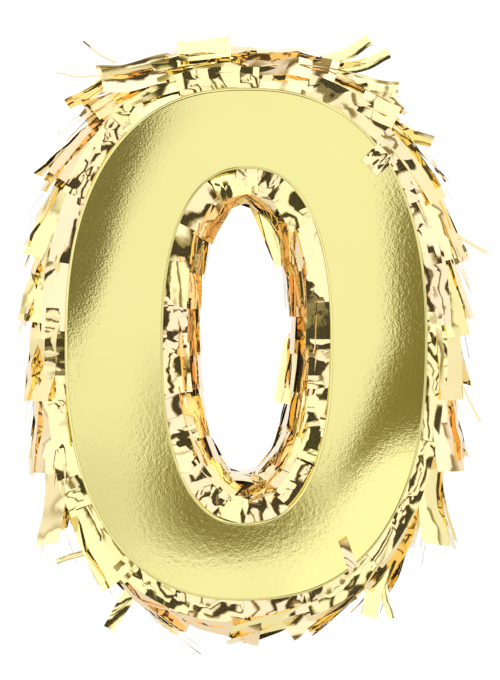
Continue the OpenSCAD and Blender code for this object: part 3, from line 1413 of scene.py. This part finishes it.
@dataclass
class Studio:
    """Camera, light and floor."""

    azimuth: float = -2.5
    elevation: float = 5.5
    distance: float = 800.0 * MM
    aim: tuple[float, float, float] = (1.2 * MM, -23.0 * MM, -96.1 * MM)
    view_height: float = 263.6 * MM
    floor_z: float = -360.0 * MM
    white: float = 1.06
    backdrop: float = 1.1
    gloom: float = 0.04
    boxes: tuple[SoftBox, ...] = (
        SoftBox(-48, 6, 10, 40, 1.24, 5),
        SoftBox(-25, -2, 9, 28, 1.22, 3),
        SoftBox(-12, 2, 3.5, 17, 1.2, 2),
        SoftBox(-14, 30, 12, 7, 1.3, 4),
        SoftBox(46, 2, 8, 36, 1.28, 5),
        SoftBox(28, 16, 6, 16, 1.2, 3),
        SoftBox(12, 1, 2.5, 20, 1.15, 2),
        SoftBox(24, -8, 3, 5, 1.15, 3),
        SoftBox(14, 46, 40, 9, 1.5, 6),
        SoftBox(9, 22, 9, 4, 1.25, 3),
        SoftBox(0, -36, 50, 5, 1.2, 4),
        SoftBox(-6, -21, 9, 4, 1.15, 3),
    )
    window: Ellipse = Ellipse(190, -23, 252, 252, 2.0, 0.012)
    haze: Ellipse = Ellipse(201, -23, 252, 252, 2.0, 0.03)
    glare: Ellipse = Ellipse(78, -92, 60, 58, 1.7, 0.07)
    hole: Ellipse = Ellipse(0, 0, 34.5, 71, 2.4, 0.0)
    pool: Ellipse = Ellipse(-4, -60, 26, 17, 2.2, 0.14)
    shade: Ellipse = Ellipse(-14, -61, 28, 22, 3.0, 0.10)
    tint: str = "#FFEC92"
    floor_half: float = 12.0
    eye: Vector = field(init=False)

    def build_camera(self) -> None:
        """Makes the camera, level with the top of the zero and a little to its left."""
        a, e = math.radians(self.azimuth), math.radians(self.elevation)
        back = Vector((math.sin(a) * math.cos(e), -math.cos(a) * math.cos(e), math.sin(e)))
        lens = bpy.data.cameras.new("camera")
        camera = link(bpy.data.objects.new("camera", lens))
        camera.location = Vector(self.aim) + back * self.distance
        camera.rotation_euler = (-back).to_track_quat("-Z", "Y").to_euler()
        lens.lens = lens.sensor_width * self.distance / self.view_height
        lens.clip_end = 50.0
        bpy.context.scene.camera = camera
        self.eye = camera.location.copy()

    def build_floor(self) -> None:
        """Makes the floor, painted white, that the pinata hangs over."""
        signs = ((-1, -1), (1, -1), (1, 1), (-1, 1))
        corners = [(self.floor_half * x, self.floor_half * y, self.floor_z) for x, y in signs]
        floor = mesh_piece("floor", corners, [(0, 1, 2, 3)])
        material, tree, place = new_material("white_painted_floor")
        cloud = Figure.of(tree, "ShaderNodeTexNoise", {"Vector": place, "Scale": 1.5, "Detail": 1.0})
        blend = {0: cloud, 6: linear("#FDFDFC"), 7: linear("#FAFAF9")}
        colour = add_node(tree, "ShaderNodeMix", blend, data_type="RGBA")
        shader = tree.nodes["Principled BSDF"].inputs
        tree.links.new(colour.outputs[2], shader["Base Color"])
        shader["Roughness"].default_value = 0.9
        shader["Specular IOR Level"].default_value = 0.0
        floor.data.materials.append(material)
        floor.visible_glossy = False

    def build_light(self) -> None:
        """Makes the studio all round: white behind, soft boxes and dark gaps on the camera's side."""
        world = bpy.data.worlds.new("studio")
        bpy.context.scene.world = world
        world.use_nodes = True
        tree = world.node_tree
        tree.nodes.clear()
        way = add_node(tree, "ShaderNodeTexCoord").outputs["Generated"]
        split = add_node(tree, "ShaderNodeSeparateXYZ", {0: way})
        x, y, z = (Figure(tree, part) for part in split.outputs)
        across = x.work("ARCTAN2", x, 0 - y) * math.degrees(1)
        up = z.work("ARCSINE", z) * math.degrees(1)
        open_side = abs(across).step(54, 66).most(up.step(58, 72)).most(up.step(-42, -54))
        # The backdrop falls off towards the floor, and two seams part it from the side walls. A dark
        # gap runs round the ceiling light.
        seam = (abs(abs(across) - 128).step(3, 7) * 0.75 + 0.25).most(up.step(48, 62))
        gap = abs(up - 74).step(2.5, 6) * 0.65 + 0.35
        wall = (0.84 + 0.16 * up.step(-30, 25)) * seam * gap
        glow = open_side * (self.white * wall - self.gloom) + self.gloom
        for box in self.boxes:
            lit_across = abs(across - box.across).step(box.half_across + box.edge, box.half_across)
            lit_up = abs(up - box.up).step(box.half_up + box.edge, box.half_up)
            glow = glow.most(lit_across * lit_up * box.bright)
        glow = self.mirrored(x, y, z, glow)
        # Only gloss mirrors the soft boxes. To the camera, and as light on board and floor, all is white.
        gloss = Figure.of(tree, "ShaderNodeLightPath", output="Is Glossy Ray")
        shown = glow * gloss + self.backdrop * (1 - gloss)
        blend = {0: shown.step(0.1, 1.0), 6: linear(self.tint), 7: linear("#FFFFFF")}
        colour = add_node(tree, "ShaderNodeMix", blend, data_type="RGBA").outputs[2]
        back = add_node(tree, "ShaderNodeBackground", {"Color": colour, "Strength": shown})
        add_node(tree, "ShaderNodeOutputWorld", {"Surface": back.outputs[0]})

    def mirrored(self, x: Figure, y: Figure, z: Figure, glow: Figure) -> Figure:
        """Adds the reflector straight ahead of the face and the dark shapes that the face mirrors.

        Args:
            x: the direction's x.
            y: the direction's y.
            z: the direction's z.
            glow: the light all round.

        Returns:
            The light all round with the reflector in it.
        """
        reach = (self.aim[1] - self.eye.y) / MM
        ahead = (0 - y).most(0.05)
        face_x = x / ahead * reach + self.eye.x / MM
        face_z = z / ahead * reach + (self.eye.z - OUTER.middle) / MM
        bright = 1.12 + 0.0002 * (face_x + face_z) + 0.06 * face_z.step(-80, -88)
        bright = bright + 0.16 * (1 - self.glare.outside(face_x, face_z))
        # The dark shapes are cloth hung in the studio: mottled, and cut off below by a straight hem.
        spot = Figure.of(x.tree, "ShaderNodeCombineXYZ", {0: face_x, 1: face_z})
        cloth = {"Vector": spot, "Scale": 0.45, "Detail": 3.0}
        weave = {"Vector": spot, "Scale": 1.3, "Detail": 2.0}
        mottle = Figure.of(x.tree, "ShaderNodeTexNoise", cloth) * 2 - 0.5
        grain = Figure.of(x.tree, "ShaderNodeTexNoise", weave) * 2 - 1
        hem = (face_z - 1.85 * face_x).step(128, 138)
        torn_x = face_x + (mottle - 0.5) * 5 + grain * 5
        left = self.window.outside(torn_x, face_z) * (0.94 - 0.34 * mottle - grain)
        left = left.most(self.haze.outside(face_x, face_z) * 0.13) * hem
        right = (face_x - 0.5 * face_z).step(53, 63).most(face_x.step(56, 63)) * face_z.step(-84, -76)
        right = right * self.glare.outside(face_x, face_z) * (0.62 + 0.002 * face_x - 0.3 * grain)
        rim = self.hole.reach(face_x, face_z).step(1.09, 1.01) * face_x.step(26, 4)
        rim = rim * face_z.step(8, -50) * 0.7
        pool = (1 - self.pool.outside(face_x, face_z)) * (0.58 + 0.3 * mottle + 0.4 * grain)
        shade = (1 - self.shade.outside(face_x, face_z)) * (0.12 + 0.6 * mottle + 0.7 * grain)
        dull = face_z.step(-24, -58) * face_x.step(-38, -54) * (0.04 + 0.24 * mottle)
        dark = left.most(right).most(rim).most(pool).most(shade).most(dull)
        edge = abs(face_x / 84).most(abs(face_z / 116))
        ahead_only = edge.step(1.05, 0.95)
        return glow * (1 - ahead_only) + bright * (1 - dark) * ahead_only

    def build(self) -> None:
        """Makes the camera, the light and the floor."""
        self.build_camera()
        self.build_light()
        self.build_floor()
        bpy.context.scene.view_settings.view_transform = "Standard"


def main() -> None:
    """Builds the finishes and the studio, then the pinata, in order."""
    logging.basicConfig(level=logging.INFO, format="%(name)s: %(message)s")
    film, foil = MirrorCard().build(), FoilFilm().build()
    board, kraft, tape = GreyBoard().build(), KraftTape().build(), GoldTape().build()
    Studio().build()
    CardBox().build(film, board, kraft)
    FillDoor().build(film, tape)
    tree = FringeTree()
    FringeWall(
        "outer", OUTER, away=1, rows=11, height=16.5 * MM, strip_count=8, length=(30.0 * MM, 37.0 * MM),
        seed=3, loose_ends=LOOSE_ENDS,
    ).build(tree, foil)
    FringeWall(
        "inner", HOLE, away=-1, rows=10, height=14.5 * MM, strip_count=7, length=(20.0 * MM, 22.5 * MM),
        seed=8, hug=(0.0, 0.4), edge_hug=(0.2, 0.7), root=(0.84, 0.96), loose=0.35, crumpled=0.3,
        flyaways=0, loose_ends=HOLE_ENDS,
    ).build(tree, foil)


if __name__ == "__main__":
    main()
